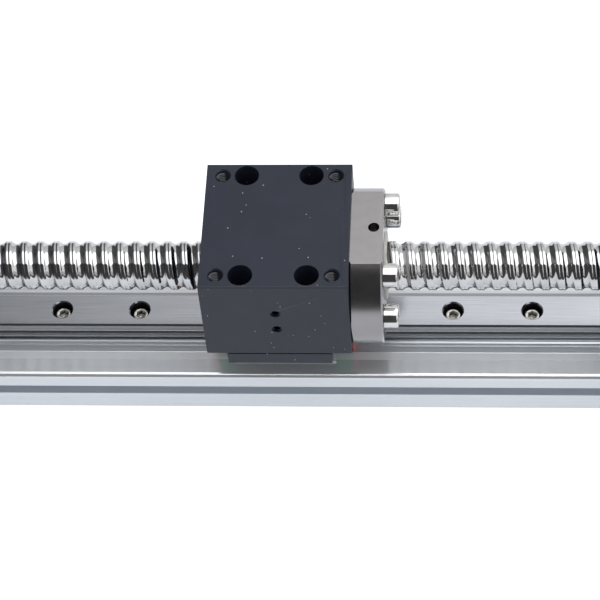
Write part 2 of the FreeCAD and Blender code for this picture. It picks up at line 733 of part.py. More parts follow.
def cover(label, start, tools):
    disc = rod(label + " disc", "cover_radius", "cover_thick", start, "0", AXIS_UP)
    holes = [rod(label + " hole", "rail_bore", "cover_thick", x, y, z) for x, y, z in cover_places(start)]
    return cut(label, disc, holes + tools)


def bearing_covers():
    outside = FIXED_OUTSIDE + " - cover_thick"
    bore = rod("lock nut bore", "lock_radius + cover_play", "cover_thick", outside, "0", AXIS_UP)
    pocket_bore = rod("clip pocket", "lock_radius + cover_play", "cover_pocket", FLOAT_OUTSIDE, "0", AXIS_UP)
    fixed = cover("fixed_bearing_cover", outside, [bore])
    return fixed, cover("floating_bearing_cover", FLOAT_OUTSIDE, [pocket_bore])


def cover_screws():
    screw = socket_screw("cover screw", "small_head", "cover_head_high", "small_shank", "cover_screw_long",
                         "small_key")
    left = copies(screw, "cover screws left", cover_places(FIXED_OUTSIDE + " - cover_thick"), "-X")
    right = copies(screw, "cover screws right", cover_places(FLOAT_OUTSIDE + " + cover_thick"), "+X")
    return group("cover_screws", left.Links + right.Links)


# Rubber bumpers that the block and the nut's flange run up to
def bumpers():
    slant = "circle_radius * cos(45 deg)"
    pieces = []
    for side in ("", "-"):
        pieces.append(rod("bumper left", "bumper_radius", "bumper_thick", FIXED_FACE, side + "bumper_out",
                          AXIS_UP + " + bumper_up"))
        pieces.append(rod("bumper right", "bumper_radius", "bumper_thick", FLOAT_FACE + " - bumper_thick",
                          side + slant, "%s - %s" % (AXIS_UP, slant)))
    return group("bumpers", pieces)


nodes = [base_extrusion(), guide_rail(), rail_screws(), carriage_body(), *carriage_ends(), spacer_plate(),
         spacer_screws(), nut_housing(), housing_screws(), ball_nut(), nut_wipers(), flange_screws(),
         ball_screw(), fixed_end_plate(), floating_end_plate(), end_plate_screws(), *bearing_rings(),
         lock_nut(), retaining_ring(), *bearing_covers(), cover_screws(), bumpers()]
doc.recompute()

for thing in doc.Objects:
    if "Invalid" in thing.State or "Error" in thing.State:
        raise RuntimeError(thing.Label + " failed")
for node in nodes:
    if node.Shape.isNull() or not node.Shape.isValid():
        raise RuntimeError(node.Label + " has no valid shape")

os.makedirs("parts", exist_ok=True)
for node in nodes:
    node.Shape.exportStep("parts/%s.step" % node.Label)
    print(node.Label, len(node.Shape.Solids), round(node.Shape.Volume, 1))
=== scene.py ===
import json
import math

import bmesh
import bpy
from mathutils import Matrix, Vector


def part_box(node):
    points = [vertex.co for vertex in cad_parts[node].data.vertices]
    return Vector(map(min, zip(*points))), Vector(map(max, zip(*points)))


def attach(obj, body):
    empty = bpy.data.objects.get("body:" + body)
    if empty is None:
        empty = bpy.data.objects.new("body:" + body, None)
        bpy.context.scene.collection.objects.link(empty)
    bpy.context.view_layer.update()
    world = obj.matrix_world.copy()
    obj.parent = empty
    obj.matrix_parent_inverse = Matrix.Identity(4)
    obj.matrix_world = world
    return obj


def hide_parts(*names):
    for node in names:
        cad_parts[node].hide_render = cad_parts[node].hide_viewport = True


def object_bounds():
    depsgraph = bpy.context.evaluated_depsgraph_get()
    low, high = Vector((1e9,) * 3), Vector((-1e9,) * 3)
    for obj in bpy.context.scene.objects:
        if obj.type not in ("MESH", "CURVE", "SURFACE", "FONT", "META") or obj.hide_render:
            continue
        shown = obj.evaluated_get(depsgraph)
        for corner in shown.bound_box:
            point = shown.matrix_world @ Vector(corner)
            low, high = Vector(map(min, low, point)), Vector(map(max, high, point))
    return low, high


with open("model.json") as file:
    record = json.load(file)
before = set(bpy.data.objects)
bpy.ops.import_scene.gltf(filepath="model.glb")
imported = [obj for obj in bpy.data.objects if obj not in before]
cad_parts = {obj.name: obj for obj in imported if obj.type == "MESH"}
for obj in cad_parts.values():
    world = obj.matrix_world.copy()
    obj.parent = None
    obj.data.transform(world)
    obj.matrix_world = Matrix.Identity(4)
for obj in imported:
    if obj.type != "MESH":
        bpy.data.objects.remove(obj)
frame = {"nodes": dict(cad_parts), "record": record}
cad_low, cad_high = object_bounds()


# Base extrusion
# A drawn aluminium profile, clear anodised, with fine lines from the die and slightly rounded
# corners. The seat under the rail is matt. The insides of the side slots and a strip behind the rail
# are painted darker, as painted shade.
MM = 0.001
# The slot and strip colours here are painted shade: darker colours where the profile lies in shade.
SEAT_COLOR, SLOT_SHADE_COLOR, STRIP_SHADE_COLOR = (0.74, 0.78, 0.82), (0.70, 0.74, 0.79), (0.42, 0.44, 0.45)
SEAT_HALF, STRIP_HALF, CROWN_HALF = 10.6, 12.5, 13.5
CROWN_LOW, SLOT_HIGH = 15.5, 13.0
SIDE_INNER, SIDE_OUTER = 19.6, 19.85


class Signal:
    """The value of one socket in a finish. Arithmetic on it adds Math nodes."""

    def __init__(self, finish, socket):
        self.finish = finish
        self.socket = socket

    def math(self, operation, *values):
        """A Math node on these values, or on this one alone."""
        return self.finish.node("Math", {"operation": operation}, dict(enumerate(values or (self,))))

    def __add__(self, other):
        return self.math("ADD", self, other)

    def __sub__(self, other):
        return self.math("SUBTRACT", self, other)

    def __mul__(self, other):
        return self.math("MULTIPLY", self, other)

    def __rsub__(self, other):
        return self.math("SUBTRACT", other, self)

    __radd__ = __add__
    __rmul__ = __mul__

    def step(self, low, high):
        """0 up to low, 1 from high on, and smooth between."""
        return self.finish.node("MapRange", {"interpolation_type": "SMOOTHSTEP"},
                                {"Value": self, "From Min": low, "From Max": high})


class Finish:
    """A surface finish: a material whose patterns are laid out in millimetres on the object."""

    def __init__(self, name, **sockets):
        self.material = bpy.data.materials.new(name)
        self.material.use_nodes = True
        self.tree = self.material.node_tree
        self.shader = self.tree.nodes["Principled BSDF"]
        self.set(**sockets)

    def set(self, **sockets):
        """Feed sockets of the shader, named in small letters with _ for a space."""
        names = {socket.name.lower().replace(" ", "_"): socket for socket in self.shader.inputs}
        for name, value in sockets.items():
            self.feed(names[name], value)
        return self

    def feed(self, socket, value):
        """Link a signal to a socket, or write a value on it."""
        if isinstance(value, Signal):
            self.tree.links.new(value.socket, socket)
        elif socket.type == "RGBA":
            socket.default_value = (*value, 1)
        else:
            socket.default_value = value

    def add(self, kind, settings=None, values=None):
        """A new node with its settings, and then the values or links of its sockets."""
        made = self.tree.nodes.new("ShaderNode" + kind)
        for name, setting in (settings or {}).items():
            setattr(made, name, setting)
        for name, value in (values or {}).items():
            self.feed(made.inputs[name], value)
        return made

    def node(self, kind, settings=None, values=None, output=0):
        """One output of a new node, so that arithmetic can go on from it."""
        return Signal(self, self.add(kind, settings, values).outputs[output])

    def place(self, stretch=(1, 1, 1), centre=(0, 0, 0)):
        """Object coordinates in millimetres from a centre, each axis drawn out by its own factor."""
        scale = [1 / (MM * factor) for factor in stretch]
        shift = [-c * s * MM for c, s in zip(centre, scale)]
        where = self.node("TexCoord", output="Object")
        return self.node("Mapping", None, {"Vector": where, "Scale": scale, "Location": shift})

    def axes(self, where):
        """The three coordinates of a place, each by itself."""
        parts = self.add("SeparateXYZ", None, {"Vector": where})
        return [Signal(self, output) for output in parts.outputs]

    def noise(self, where, size, detail=2.0):
        """A cloudy pattern from 0 to 1, whose blotches are about size millimetres."""
        return self.node("TexNoise", None, {"Vector": where, "Scale": 1 / size, "Detail": detail})

    def blend(self, mask, first, second):
        """The first colour where the mask is 0, the second where it is 1."""
        return self.node("Mix", {"data_type": "RGBA"}, {0: mask, 6: first, 7: second}, output=2)

    def bump(self, height, depth):
        """Raise the surface by a height from 0 to 1, times a depth in millimetres."""
        return self.node("Bump", None, {"Height": height, "Distance": depth * MM, "Strength": 1.0})


def drawn_metal(name, dark, light, roughness, line=0.35, depth=0.004):
    """Metal with fine lines along X, as drawing or grinding leaves."""
    finish = Finish(name, metallic=1.0)
    fine = finish.noise(finish.place((60, 1, 1)), line, detail=3.0)
    broad = finish.noise(finish.place((6, 1, 1)), 9.0)
    tone = (fine * 0.55 + broad * 0.45).step(0.3, 0.7)
    finish.color = finish.blend(tone, dark, light)
    finish.rough = roughness - 0.04 + fine * 0.08
    return finish.set(base_color=finish.color, roughness=finish.rough, normal=finish.bump(fine, depth))


def copy_of(node):
    """A merged copy of a CAD node's mesh, with its flat faces whole again."""
    mesh = bmesh.new()
    mesh.from_mesh(frame["nodes"][node].data)
    bmesh.ops.remove_doubles(mesh, verts=mesh.verts, dist=0.001 * MM)
    flat = math.radians(0.5)
    bmesh.ops.dissolve_limit(mesh, angle_limit=flat, verts=mesh.verts, edges=mesh.edges)
    return mesh


def piece(mesh, name, body, finish, replaces=(), round_edge=0.0, sharp=20):
    """Turn a bmesh into a finished piece that rides on a body."""
    made = bpy.data.meshes.new(name)
    mesh.to_mesh(made)
    mesh.free()
    for polygon in made.polygons:
        polygon.use_smooth = True
    made.set_sharp_from_angle(angle=math.radians(sharp))
    made.materials.append(finish.material)
    thing = bpy.data.objects.new(name, made)
    bpy.context.scene.collection.objects.link(thing)
    if round_edge:
        rounding = thing.modifiers.new("edges", "BEVEL")
        rounding.width = round_edge * MM
        rounding.segments = 2
        rounding.limit_method = "ANGLE"
        rounding.angle_limit = math.radians(28)
        rounding.harden_normals = True
    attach(thing, body)
    if replaces:
        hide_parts(*replaces)


silver = drawn_metal("silver_anodised", (0.84, 0.87, 0.91), (0.90, 0.925, 0.95), 0.17)
_, y, z = silver.axes(silver.place())
out = y.math("ABSOLUTE")
crown = z.step(CROWN_LOW, CROWN_LOW + 0.5) * (1 - out.step(CROWN_HALF - 0.1, CROWN_HALF + 0.1))
seat = crown * (1 - out.step(SEAT_HALF - 0.1, SEAT_HALF + 0.1))
# Painted shade: the strip just behind the rail is coloured darker, where the rail and the screw shade
# it.
strip_shade = y.step(SEAT_HALF, SEAT_HALF + 0.1) * crown * (1 - out.step(STRIP_HALF, STRIP_HALF + 0.1))
# Painted shade: inside the side slots the profile is coloured darker.
slots = (1 - out.step(SIDE_INNER, SIDE_OUTER)) * (1 - z.step(SLOT_HIGH, SLOT_HIGH + 1))
tone = silver.blend(slots, silver.blend(seat, silver.color, SEAT_COLOR), SLOT_SHADE_COLOR)
silver.set(base_color=silver.blend(strip_shade, tone, STRIP_SHADE_COLOR), roughness=silver.rough + seat * 0.14,
           metallic=0.6 + seat * 0.45 - crown * 0.35)
piece(copy_of("base_extrusion"), "base_profile", "base", silver,
      ["base_extrusion"], round_edge=0.15)


# Guide rail
# Hardened bearing steel, ground along its length. Its flanks are painted brighter than its top, as
# painted reflected light, and the counterbores are dark from heat treatment.
FLANK_LIGHT_COLOR, SCALE_COLOR = (0.57, 0.58, 0.60), (0.05, 0.05, 0.06)
HOLE_PITCH, HOLE_RADIUS = 25.0, 3.1
FLANK_DOWN = 0.55


def dress(node, finish):
    """Give a CAD node its finish."""
    slots = frame["nodes"][node].data.materials
    slots.clear()
    slots.append(finish.material)


ground = drawn_metal("ground_steel", (0.395, 0.41, 0.445), (0.475, 0.49, 0.52), 0.2,
                     line=0.25, depth=0.002)
rail_low, rail_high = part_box("guide_rail")
middle_top = ((rail_low.x + rail_high.x) / 2 / MM, 0, rail_high.z / MM)
x, y, z = ground.axes(ground.place(centre=middle_top))
from_hole = x.math("WRAP", x, HOLE_PITCH / 2, -HOLE_PITCH / 2)
away = (from_hole * from_hole + y * y).math("SQRT")
scale = (1 - away.step(HOLE_RADIUS, HOLE_RADIUS + 0.1)) * (1 - z.step(-0.25, -0.05))
# Painted reflected light: the flanks are coloured brighter than the top.
flank_light = 1 - z.step(-FLANK_DOWN - 0.2, -FLANK_DOWN)
tone = ground.blend(flank_light, ground.color, FLANK_LIGHT_COLOR)
ground.set(base_color=ground.blend(scale, tone, SCALE_COLOR), roughness=ground.rough + scale * 0.3)
dress("guide_rail", ground)


# Rail screws
# Socket head cap screws in the rail's counterbores, turned, nickel plated, and rounded at the rim
# of the head.
TO_RIGHT = Matrix.Rotation(math.radians(90), 4, "Y")
TO_LEFT = Matrix.Rotation(math.radians(-90), 4, "Y")


def only(kind, items):
    """The vertices or edges among the results of an operator, each once."""
    return list(dict.fromkeys(item for item in items if isinstance(item, kind)))


def open_edges(mesh, chosen):
    """The open edges whose two ends are both chosen."""
    return [edge for edge in mesh.edges if edge.is_boundary and all(map(chosen, edge.verts))]


def cap_screw(head, high, shank, long, key, key_deep, rim):
    """A cap screw about Z. Its head stands on z = 0, and its shank goes down."""
    sides = 48
    lead_in, chamfer = 0.12, 0.5
    corner = rim * 0.3
    key_corner = key / math.cos(math.radians(30))
    mesh = bmesh.new()
    quarter = [math.radians(angle) for angle in (0, 22.5, 45, 67.5, 90)]
    section = [(key_corner + lead_in, high)]
    section += [(head - rim + rim * math.sin(turn), high - rim + rim * math.cos(turn))
                for turn in quarter]
    section += [(head, corner), (head - corner, 0), (shank, 0), (shank, chamfer - long),
                (shank - chamfer, -long)]
    points = [mesh.verts.new((r * MM, 0, z * MM)) for r, z in section]
    for near, far in zip(points, points[1:]):
        mesh.edges.new((near, far))
    bmesh.ops.spin(mesh, geom=mesh.verts[:] + mesh.edges[:], cent=(0, 0, 0), axis=(0, 0, 1),
                   angle=math.tau, steps=sides, use_merge=True)
    made = bmesh.ops.create_circle(mesh, segments=6, radius=key_corner * MM, cap_ends=False)
    hexagon = only(bmesh.types.BMEdge, (edge for vert in made["verts"] for edge in vert.link_edges))
    cut = bmesh.ops.subdivide_edges(mesh, edges=hexagon, cuts=sides // 6 - 1)
    loop = only(bmesh.types.BMEdge, cut["geom"])
    corners = only(bmesh.types.BMVert, (vert for edge in loop for vert in edge.verts))
    bmesh.ops.translate(mesh, verts=corners, vec=(0, 0, (high - lead_in) * MM))
    top_rim = open_edges(mesh, lambda vert: vert.co.z > (high - 0.05) * MM)
    bmesh.ops.bridge_loops(mesh, edges=top_rim + loop)
    for down, share in ((key_deep, 1.0), (key_deep + key * 0.5, 0.0)):
        grown = bmesh.ops.extrude_edge_only(mesh, edges=loop)["geom"]
        loop = only(bmesh.types.BMEdge, grown)
        for vert in only(bmesh.types.BMVert, grown):
            vert.co = (vert.co.x * share, vert.co.y * share, (high - down) * MM)
    bmesh.ops.edgeloop_fill(mesh, edges=open_edges(mesh, lambda vert: True))
    bmesh.ops.remove_doubles(mesh, verts=mesh.verts, dist=0.005 * MM)
    bmesh.ops.recalc_face_normals(mesh, faces=mesh.faces)
    return mesh


def joined(meshes):
    """Several bmeshes as one. They are used up."""
    whole = bmesh.new()
    scrap = bpy.data.meshes.new("scrap")
    for mesh in meshes:
        mesh.to_mesh(scrap)
        mesh.free()
        whole.from_mesh(scrap)
    bpy.data.meshes.remove(scrap)
    return whole


def repeated(pattern, places, turn):
    """One mesh with the pattern at each place, in metres. The pattern is used up."""
    copies = []
    for place in places:
        copies.append(pattern.copy())
        matrix = Matrix.Translation(place) @ turn
        bmesh.ops.transform(copies[-1], matrix=matrix, verts=copies[-1].verts)
    pattern.free()
    return joined(copies)


def islands(node):
    """The lowest and highest corners of each separate solid of a CAD node."""
    mesh = bmesh.new()
    mesh.from_mesh(frame["nodes"][node].data)
    bmesh.ops.remove_doubles(mesh, verts=mesh.verts, dist=0.001 * MM)
    left, found = set(mesh.verts), []
    while left:
        ring, solid = [left.pop()], []
        while ring:
            vert = ring.pop()
            solid.append(vert.co.copy())
            for edge in vert.link_edges:
                other = edge.other_vert(vert)
                if other in left:
                    left.remove(other)
                    ring.append(other)
        found.append((Vector(map(min, zip(*solid))), Vector(map(max, zip(*solid)))))
    mesh.free()
    return sorted(found, key=lambda corners: corners[0][:])


def screws(node, name, body, finish, head, high, shank, key, key_deep, rim=0.25):
    """Detailed cap screws in place of a node's plain ones, whichever way each one points."""
    middle = (cad_low.x + cad_high.x) / 2
    up, right, left = [], [], []
    for low, top in islands(node):
        centre, size = (low + top) / 2, top - low
        if size.z > size.x:
            up.append((centre.x, centre.y, top.z - high * MM))
        elif abs(low.x - middle) < abs(top.x - middle):
            right.append((top.x - high * MM, centre.y, centre.z))
        else:
            left.append((low.x + high * MM, centre.y, centre.z))
        long = max(size.x, size.z) / MM - high
    groups = [repeated(cap_screw(head, high, shank, long, key, key_deep, rim), places, turn)
              for turn, places in ((Matrix(), up), (TO_RIGHT, right), (TO_LEFT, left)) if places]
    piece(joined(groups), name, body, finish, [node], sharp=28)


def plated_metal(name, color, roughness, wear_and_edge_highlight=0.86, depth=0.004):
    """Bright or blackened steel with handling smudges, which leave it a little worn."""
    finish = Finish(name, metallic=1.0)
    smudge = finish.noise(finish.place(), 3.0, detail=4.0)
    pits = finish.noise(finish.place(), 0.35)
    shade = [channel * wear_and_edge_highlight for channel in color]
    return finish.set(base_color=finish.blend(smudge.step(0.35, 0.7), shade, color),
                      roughness=roughness + smudge * 0.08, normal=finish.bump(pits, depth))


nickel = plated_metal("nickel_plate", (0.50, 0.49, 0.46), 0.22)
screws("rail_screws", "rail_cap_screws", "base", nickel,
       head=2.75, high=3.0, shank=1.5, key=1.25, key_deep=1.9, rim=0.65)


# Carriage on the rail
# A ground steel runner with green moulded caps that turn the balls round, and red end seals that
# wipe the rail.
SEAL_IN, SEAL_UP, SEAL_DOWN = 1.1 * MM, 0.6 * MM, 0.2 * MM


def moulded(name, color, roughness):
    """Injection moulded plastic or rubber with a fine grain."""
    finish = Finish(name)
    tone = finish.noise(finish.place(), 4.0, detail=3.0)
    skin = finish.noise(finish.place(), 0.5)
    shade = [channel * 0.8 for channel in color]
    return finish.set(base_color=finish.blend(tone.step(0.3, 0.7), shade, color),
                      roughness=roughness + skin * 0.12, normal=finish.bump(skin, 0.01))


runner_steel = drawn_metal("runner_steel", (0.48, 0.48, 0.50), (0.62, 0.62, 0.64), 0.26)
dress("carriage_body", runner_steel)
green = moulded("green_moulding", (0.012, 0.20, 0.11), 0.36)
piece(copy_of("carriage_end_caps"), "end_caps", "carriage", green,
      ["carriage_end_caps"], round_edge=0.4)
red = moulded("red_seal", (0.58, 0.125, 0.135), 0.42)
seals = copy_of("carriage_end_seals")
seal_low, seal_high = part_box("carriage_end_seals")
for vert in seals.verts:
    if abs(vert.co.x - seal_low.x) < 0.05 * MM:
        vert.co.x += SEAL_IN
    elif abs(vert.co.x - seal_high.x) < 0.05 * MM:
        vert.co.x -= SEAL_IN
    vert.co.z += SEAL_UP if vert.co.z > (seal_low.z + seal_high.z) / 2 else -SEAL_DOWN
piece(seals, "end_seals", "carriage", red, ["carriage_end_seals"], round_edge=0.25)


# Spacer plate
# A milled aluminium plate, black anodised like the block over it, held down by sunk cap screws.
BLACK, DUST = (0.0165, 0.0195, 0.033), (0.55, 0.55, 0.58)
DUST_APART, DUST_WIDE = 3.3, 0.07


def anodised_black(name):
    """Black anodised aluminium: a satin skin with faint clouds, and a few grains of dust."""
    finish = Finish(name, metallic=0.0, specular_ior_level=0.44, specular_tint=(0.88, 0.94, 1.0))
    cloud = finish.noise(finish.place(), 14.0, detail=4.0)
    skin = finish.noise(finish.place(), 0.22)
    from_grain = finish.node("TexVoronoi", None, {"Vector": finish.place(), "Scale": 1 / DUST_APART})
    grain = 1 - from_grain.step(DUST_WIDE * 0.6, DUST_WIDE)
    light = [channel * 1.25 for channel in BLACK]
    base = finish.blend(cloud.step(0.3, 0.72), BLACK, light)
    finish.color = finish.blend(grain, base, DUST)
    return finish.set(base_color=finish.color, roughness=0.36 + skin * 0.1,
                      normal=finish.bump(skin, 0.006))


black = anodised_black("black_anodised")
piece(copy_of("spacer_plate"), "spacer", "carriage", black, ["spacer_plate"],
      round_edge=0.2)
oxide = plated_metal("black_oxide", (0.10, 0.10, 0.11), 0.3)
screws("spacer_screws", "spacer_cap_screws", "carriage", oxide,
       head=2.75, high=3.0, shank=1.5, key=1.25, key_deep=1.4)


# Nut housing
# A block milled from bar, black anodised, and painted lighter along its long edges as a painted
# edge highlight. Screws in four deep counterbores hold it to the plate under it, and the tapped
# holes beside them take the load.
BLOCK_EDGE = 0.5
EDGE_HIGHLIGHT_BLACK = (0.06, 0.065, 0.08)

block_black = anodised_black("housing_black")
block_low, block_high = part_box("nut_housing")
half = (block_high - block_low) / 2 / MM
_, y, z = block_black.axes(block_black.place(centre=(block_low + block_high) / 2 / MM))
# Painted highlight: a lighter band along the block's four long edges.
from_edge = half.y + half.z - (y.math("ABSOLUTE") + z.math("ABSOLUTE"))
wear_and_edge_highlight = 1 - from_edge.step(BLOCK_EDGE + 0.03, BLOCK_EDGE + 0.12)
block_black.set(base_color=block_black.blend(wear_and_edge_highlight, block_black.color, EDGE_HIGHLIGHT_BLACK))
piece(copy_of("nut_housing"), "housing_block", "carriage", block_black,
      ["nut_housing"], round_edge=0.06)


def thread(hole, pitch, start, deep):
    """The thread of a tapped hole about Z, a closed ridge that winds down from start under z = 0."""
    sides = 28
    turns = int((deep - start) / pitch)
    foot = -start - (turns + 0.9) * pitch
    ridge = ((hole + 0.03, 0.2), (hole - 0.5 * pitch, 0.5), (hole + 0.03, 0.8))
    mesh = bmesh.new()
    points = [mesh.verts.new((radius * MM, 0, (foot + share * pitch) * MM))
              for radius, share in ridge]
    mesh.faces.new(points)
    last = bmesh.ops.spin(mesh, geom=mesh.verts[:] + mesh.edges[:], cent=(0, 0, 0), axis=(0, 0, 1),
                          dvec=(0, 0, pitch * MM / sides), angle=math.tau * turns,
                          steps=sides * turns)
    bmesh.ops.contextual_create(mesh, geom=only(bmesh.types.BMEdge, last["geom_last"]))
    bmesh.ops.recalc_face_normals(mesh, faces=mesh.faces)
    return mesh


def tapped(name, mount, pitch, start, deep, turn=Matrix(), across=((1, 0, 0), (0, 1, 0))):
    """Threads in the holes of one of the record's mounts, whose pattern lies along two ways."""
    row = next(entry for entry in frame["record"]["mounts"] if entry["name"] == mount)
    centre, dims = Vector(row["pos_m"]), row["dims"]
    right, up = (Vector(way) * dims.get("spacing_%s_mm" % key, 0) / 2 * MM
                 for way, key in zip(across, "xy"))
    places = {tuple(round(value, 7) for value in centre + right * a + up * b)
              for a in (-1, 1) for b in (-1, 1)}
    ridges = repeated(thread(dims["hole_r_mm"], pitch, start, deep), sorted(places), turn)
    piece(ridges, name, "carriage", tap, sharp=35)


tap = plated_metal("cut_thread", (0.048, 0.05, 0.055), 0.14)
tapped("payload_threads", "payload_holes", pitch=0.8, start=0.7, deep=10.4)
tapped("front_threads", "front_holes", pitch=0.6, start=0.4, deep=5.4,
       turn=Matrix.Rotation(math.radians(90), 4, "X"), across=((1, 0, 0), (0, 0, 1)))
screws("housing_screws", "housing_cap_screws", "carriage", oxide,
       head=3.5, high=4.0, shank=2.0, key=1.5, key_deep=2.0)


# Ball nut
# Bearing steel, ground all over, with a flat on the flange above and below. Four bright screws hold
# the flange to the block, and a white wiper closes each end.
nut_steel = plated_metal("nut_steel", (0.355, 0.342, 0.345), 0.21, wear_and_edge_highlight=0.96, depth=0.001)
piece(copy_of("ball_nut"), "flanged_nut", "carriage", nut_steel, ["ball_nut"],
      round_edge=0.4)
white = moulded("white_wiper", (0.80, 0.80, 0.76), 0.35)
piece(copy_of("nut_wipers"), "wipers", "carriage", white, ["nut_wipers"],
      round_edge=0.2)
chrome = plated_metal("bright_screw", (0.78, 0.77, 0.76), 0.08, depth=0.001)
screws("flange_screws", "flange_cap_screws", "carriage", chrome,
       head=3.65, high=4.7, shank=2.0, key=1.5, key_deep=2.2, rim=0.8)


# Ball screw
# A rolled and polished screw with one right-handed track. The track is a pointed arch in section,
# and rolling leaves a faint crease along the middle of each land.
SCREW_RADIUS, LEAD = 7.65, 5.0
TRACK_HALF, TRACK_DEEP = 1.23, 0.86
ARCH_RADIUS, ARCH_OFF, ARCH_FACETS = 2.17, 0.3, 7
LAND = [(0.0, 0.075), (0.1, 0.062), (0.2, 0.026), (0.32, 0.004), (0.48, 0.0), (0.68, 0.008),
        (0.84, 0.03), (0.97, 0.065), (1.07, 0.11), (1.17, 0.18)]
TRACK_FROM_BLOCK = 3.0
TRACK_SHORT = 1 * MM
CORE, JOURNAL, STUB = 6.5, 5.0, 4.0
STUB_EDGE, JOURNAL_EDGE = 0.5, 0.4
STEPS = 64

screw_low, screw_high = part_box("ball_screw")
axis_z = (screw_low.z + screw_high.z) / 2


def track_section():
    """From the middle of one land to the next, as (along, radius) in millimetres."""
    half = [(along, SCREW_RADIUS - down) for along, down in LAND]
    start = math.asin((TRACK_HALF + ARCH_OFF) / ARCH_RADIUS)
    end = math.asin(ARCH_OFF / ARCH_RADIUS)
    low = SCREW_RADIUS - TRACK_DEEP + ARCH_RADIUS * math.cos(end)
    for number in range(ARCH_FACETS + 1):
        turn = start + (end - start) * number / ARCH_FACETS
        half.append((LEAD / 2 + ARCH_OFF - ARCH_RADIUS * math.sin(turn),
                     low - ARCH_RADIUS * math.cos(turn)))
    return half + [(LEAD - along, radius) for along, radius in reversed(half[:-1])]


def profile(section):
    """A line over the screw's axis, from (x in metres, radius in millimetres) points."""
    mesh = bmesh.new()
    points = [mesh.verts.new((x, 0, axis_z + radius * MM)) for x, radius in section]
    for near, far in zip(points, points[1:]):
        mesh.edges.new((near, far))
    return mesh


def threaded_length(left, right, middle):
    """The track, cut off square at both ends. A groove tops the screw at middle."""
    first = middle - LEAD / 2 * MM
    first -= LEAD * MM * (math.ceil((first - left) / (LEAD * MM)) + 1)
    turns = math.ceil((right - first) / (LEAD * MM)) + 1
    mesh = profile([(first + along * MM, radius) for along, radius in track_section()])
    bmesh.ops.spin(mesh, geom=mesh.verts[:] + mesh.edges[:], cent=(0, 0, axis_z), axis=(1, 0, 0),
                   dvec=(LEAD / STEPS * MM, 0, 0), angle=math.tau, steps=STEPS)
    made = 1
    while made < turns:
        everything = mesh.verts[:] + mesh.edges[:] + mesh.faces[:]
        copied = bmesh.ops.duplicate(mesh, geom=everything)["geom"]
        bmesh.ops.translate(mesh, verts=only(bmesh.types.BMVert, copied),
                            vec=(made * LEAD * MM, 0, 0))
        made *= 2
    bmesh.ops.remove_doubles(mesh, verts=mesh.verts, dist=0.002 * MM)
    for x, side in ((left, -1), (right, 1)):
        everything = mesh.verts[:] + mesh.edges[:] + mesh.faces[:]
        bmesh.ops.bisect_plane(mesh, geom=everything, dist=0.0, plane_co=(x, 0, 0),
                               plane_no=(side, 0, 0), clear_outer=True)
        rim = open_edges(mesh, lambda vert: abs(vert.co.x - x) < 0.001 * MM)
        bmesh.ops.edgeloop_fill(mesh, edges=rim)
    bmesh.ops.recalc_face_normals(mesh, faces=mesh.faces)
    return mesh


def turned(section):
    """A turned piece about the screw's axis, from (x in metres, radius in millimetres) points."""
    mesh = profile(section)
    bmesh.ops.spin(mesh, geom=mesh.verts[:] + mesh.edges[:], cent=(0, 0, axis_z), axis=(1, 0, 0),
                   angle=math.tau, steps=STEPS, use_merge=True)
    bmesh.ops.remove_doubles(mesh, verts=mesh.verts, dist=0.002 * MM)
    bmesh.ops.recalc_face_normals(mesh, faces=mesh.faces)
    return mesh


base_low, base_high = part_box("base_extrusion")
lock_low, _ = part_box("lock_nut")
fixed_rings, float_rings = islands("bearing_inner_rings")
fixed_seat, float_seat = fixed_rings[1].x, float_rings[0].x
track_left, track_right = base_low.x + TRACK_SHORT, base_high.x - TRACK_SHORT
groove_top = (block_low.x + block_high.x) / 2 + TRACK_FROM_BLOCK * MM
left_end = [(screw_low.x, 0), (screw_low.x, STUB - STUB_EDGE), (screw_low.x + STUB_EDGE * MM, STUB),
            (lock_low.x, STUB), (lock_low.x, JOURNAL), (fixed_seat, JOURNAL), (fixed_seat, CORE),
            (track_left, CORE), (track_left + 1 * MM, CORE - 1), (track_left + 1 * MM, 0)]
right_end = [(track_right - 1 * MM, 0), (track_right - 1 * MM, CORE - 1), (track_right, CORE),
             (float_seat, CORE), (float_seat, JOURNAL), (screw_high.x - JOURNAL_EDGE * MM, JOURNAL),
             (screw_high.x, JOURNAL - JOURNAL_EDGE), (screw_high.x, 0)]
polish = Finish("polished_track", metallic=1.0)
chatter = polish.noise(polish.place((1, 0.6, 0.6)), 1.1)
smear = polish.noise(polish.place(), 5.0, detail=3.0)
polish.set(base_color=polish.blend(smear.step(0.3, 0.7), (0.55, 0.55, 0.56), (0.66, 0.66, 0.66)),
           roughness=0.05 + smear * 0.06, normal=polish.bump(chatter, 0.004))
track = threaded_length(track_left, track_right, groove_top)
piece(joined([track, turned(left_end), turned(right_end)]), "track_screw", "screw", polish,
      ["ball_screw"], sharp=40)


# End plates
# Aluminium plates that hold the bearings, milled, black anodised and screwed to the ends of the
# base. A round cover closes each bearing.
for node, name in (("fixed_end_plate", "drive_end_plate"), ("floating_end_plate", "far_end_plate"),
                   ("fixed_bearing_cover", "drive_bearing_cover"),
                   ("floating_bearing_cover", "far_bearing_cover")):
    piece(copy_of(node), name, "base", black, [node], round_edge=0.25)
screws("end_plate_screws", "end_cap_screws", "base", oxide,
       head=4.25, high=5.0, shank=2.5, key=2.0, key_deep=2.5)
screws("cover_screws", "cover_cap_screws", "base", oxide,
       head=2.75, high=1.9, shank=1.5, key=1.0, key_deep=1.2)


# Bearings, lock nut and clip
# Ground bearing rings, a slotted lock nut that clamps the fixed pair, and a spring clip at the other
# end of the screw.
bright = plated_metal("bearing_steel", (0.66, 0.66, 0.67), 0.2)
for node in ("bearing_outer_rings", "bearing_inner_rings"):
    dress(node, bright)
for node in ("lock_nut", "retaining_ring"):
    dress(node, oxide)


